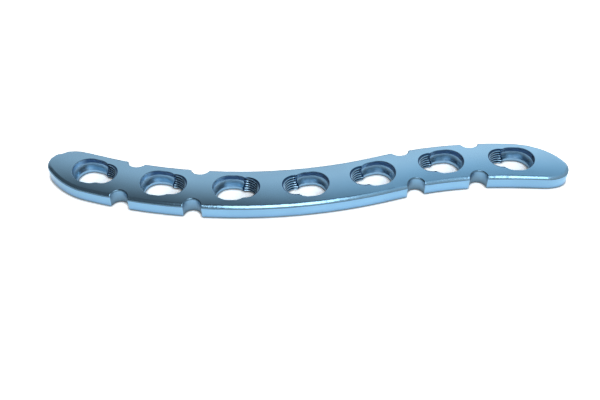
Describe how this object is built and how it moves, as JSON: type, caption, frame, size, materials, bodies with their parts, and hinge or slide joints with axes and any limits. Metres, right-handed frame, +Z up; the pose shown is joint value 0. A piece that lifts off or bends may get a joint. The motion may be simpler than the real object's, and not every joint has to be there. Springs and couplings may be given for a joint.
{
  "type": "orthopedic bone plate",
  "caption": "Slim S-curved titanium bone plate with a row of slotted and threaded combination screw holes and half-round edge notches.",
  "frame": {"origin": "middle of the plate's bounding box, on the flat underside", "axes": "+X along the line from the first screw hole to the last, +Y to the plate's back edge, +Z up out of the crowned top"},
  "size_m": [0.1016, 0.0174, 0.0035],
  "materials": {
    "anodised_titanium": "satin, blue anodised titanium"
  },
  "bodies": {
    "root": {"bone_plate": "anodised_titanium"}
  },
  "joints": []
}
